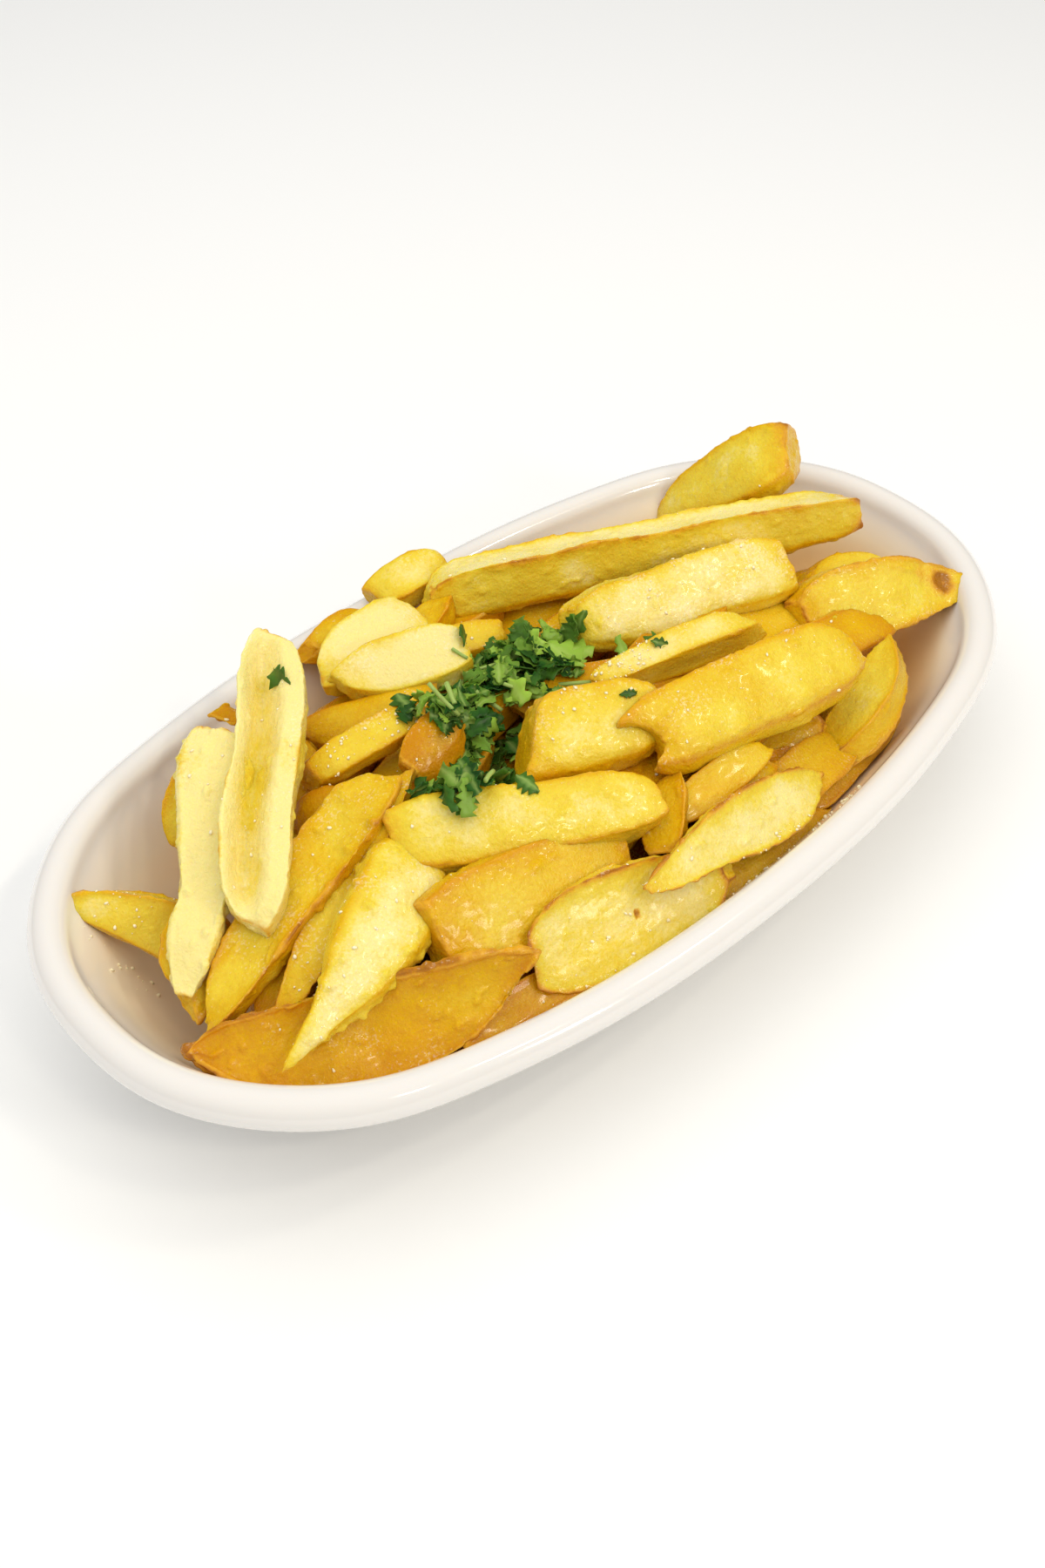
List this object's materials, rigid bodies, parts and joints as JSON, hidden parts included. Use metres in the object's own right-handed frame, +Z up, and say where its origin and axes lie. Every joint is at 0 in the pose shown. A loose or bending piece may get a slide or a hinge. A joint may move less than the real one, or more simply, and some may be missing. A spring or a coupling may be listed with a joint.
{
  "type": "french fries portion",
  "caption": "Oval white porcelain dish with a thick rolled rim, heaped with thick hand-cut fries under chopped parsley and fine crumbs of grated cheese.",
  "frame": {"origin": "centre of the dish's footprint, on the surface it stands on", "axes": "+X along the dish's long axis, towards the end where the thick fry leans over the rim; +Y across the dish, away from the side the fries slope down to; +Z up"},
  "size_m": [0.25, 0.136, 0.062],
  "materials": {
    "glazed_porcelain": "white glazed porcelain, smooth and glossy",
    "fried_potato": "fried potato, pale yellow with golden-brown edges and a thin sheen of oil",
    "chopped_parsley": "chopped parsley leaf, dark green and damp",
    "grated_cheese": "fine crumbs of hard cheese, pale and matt"
  },
  "bodies": {
    "root": {"dish": "glazed_porcelain", "fries_heap": "fried_potato"}
  },
  "joints": []
}
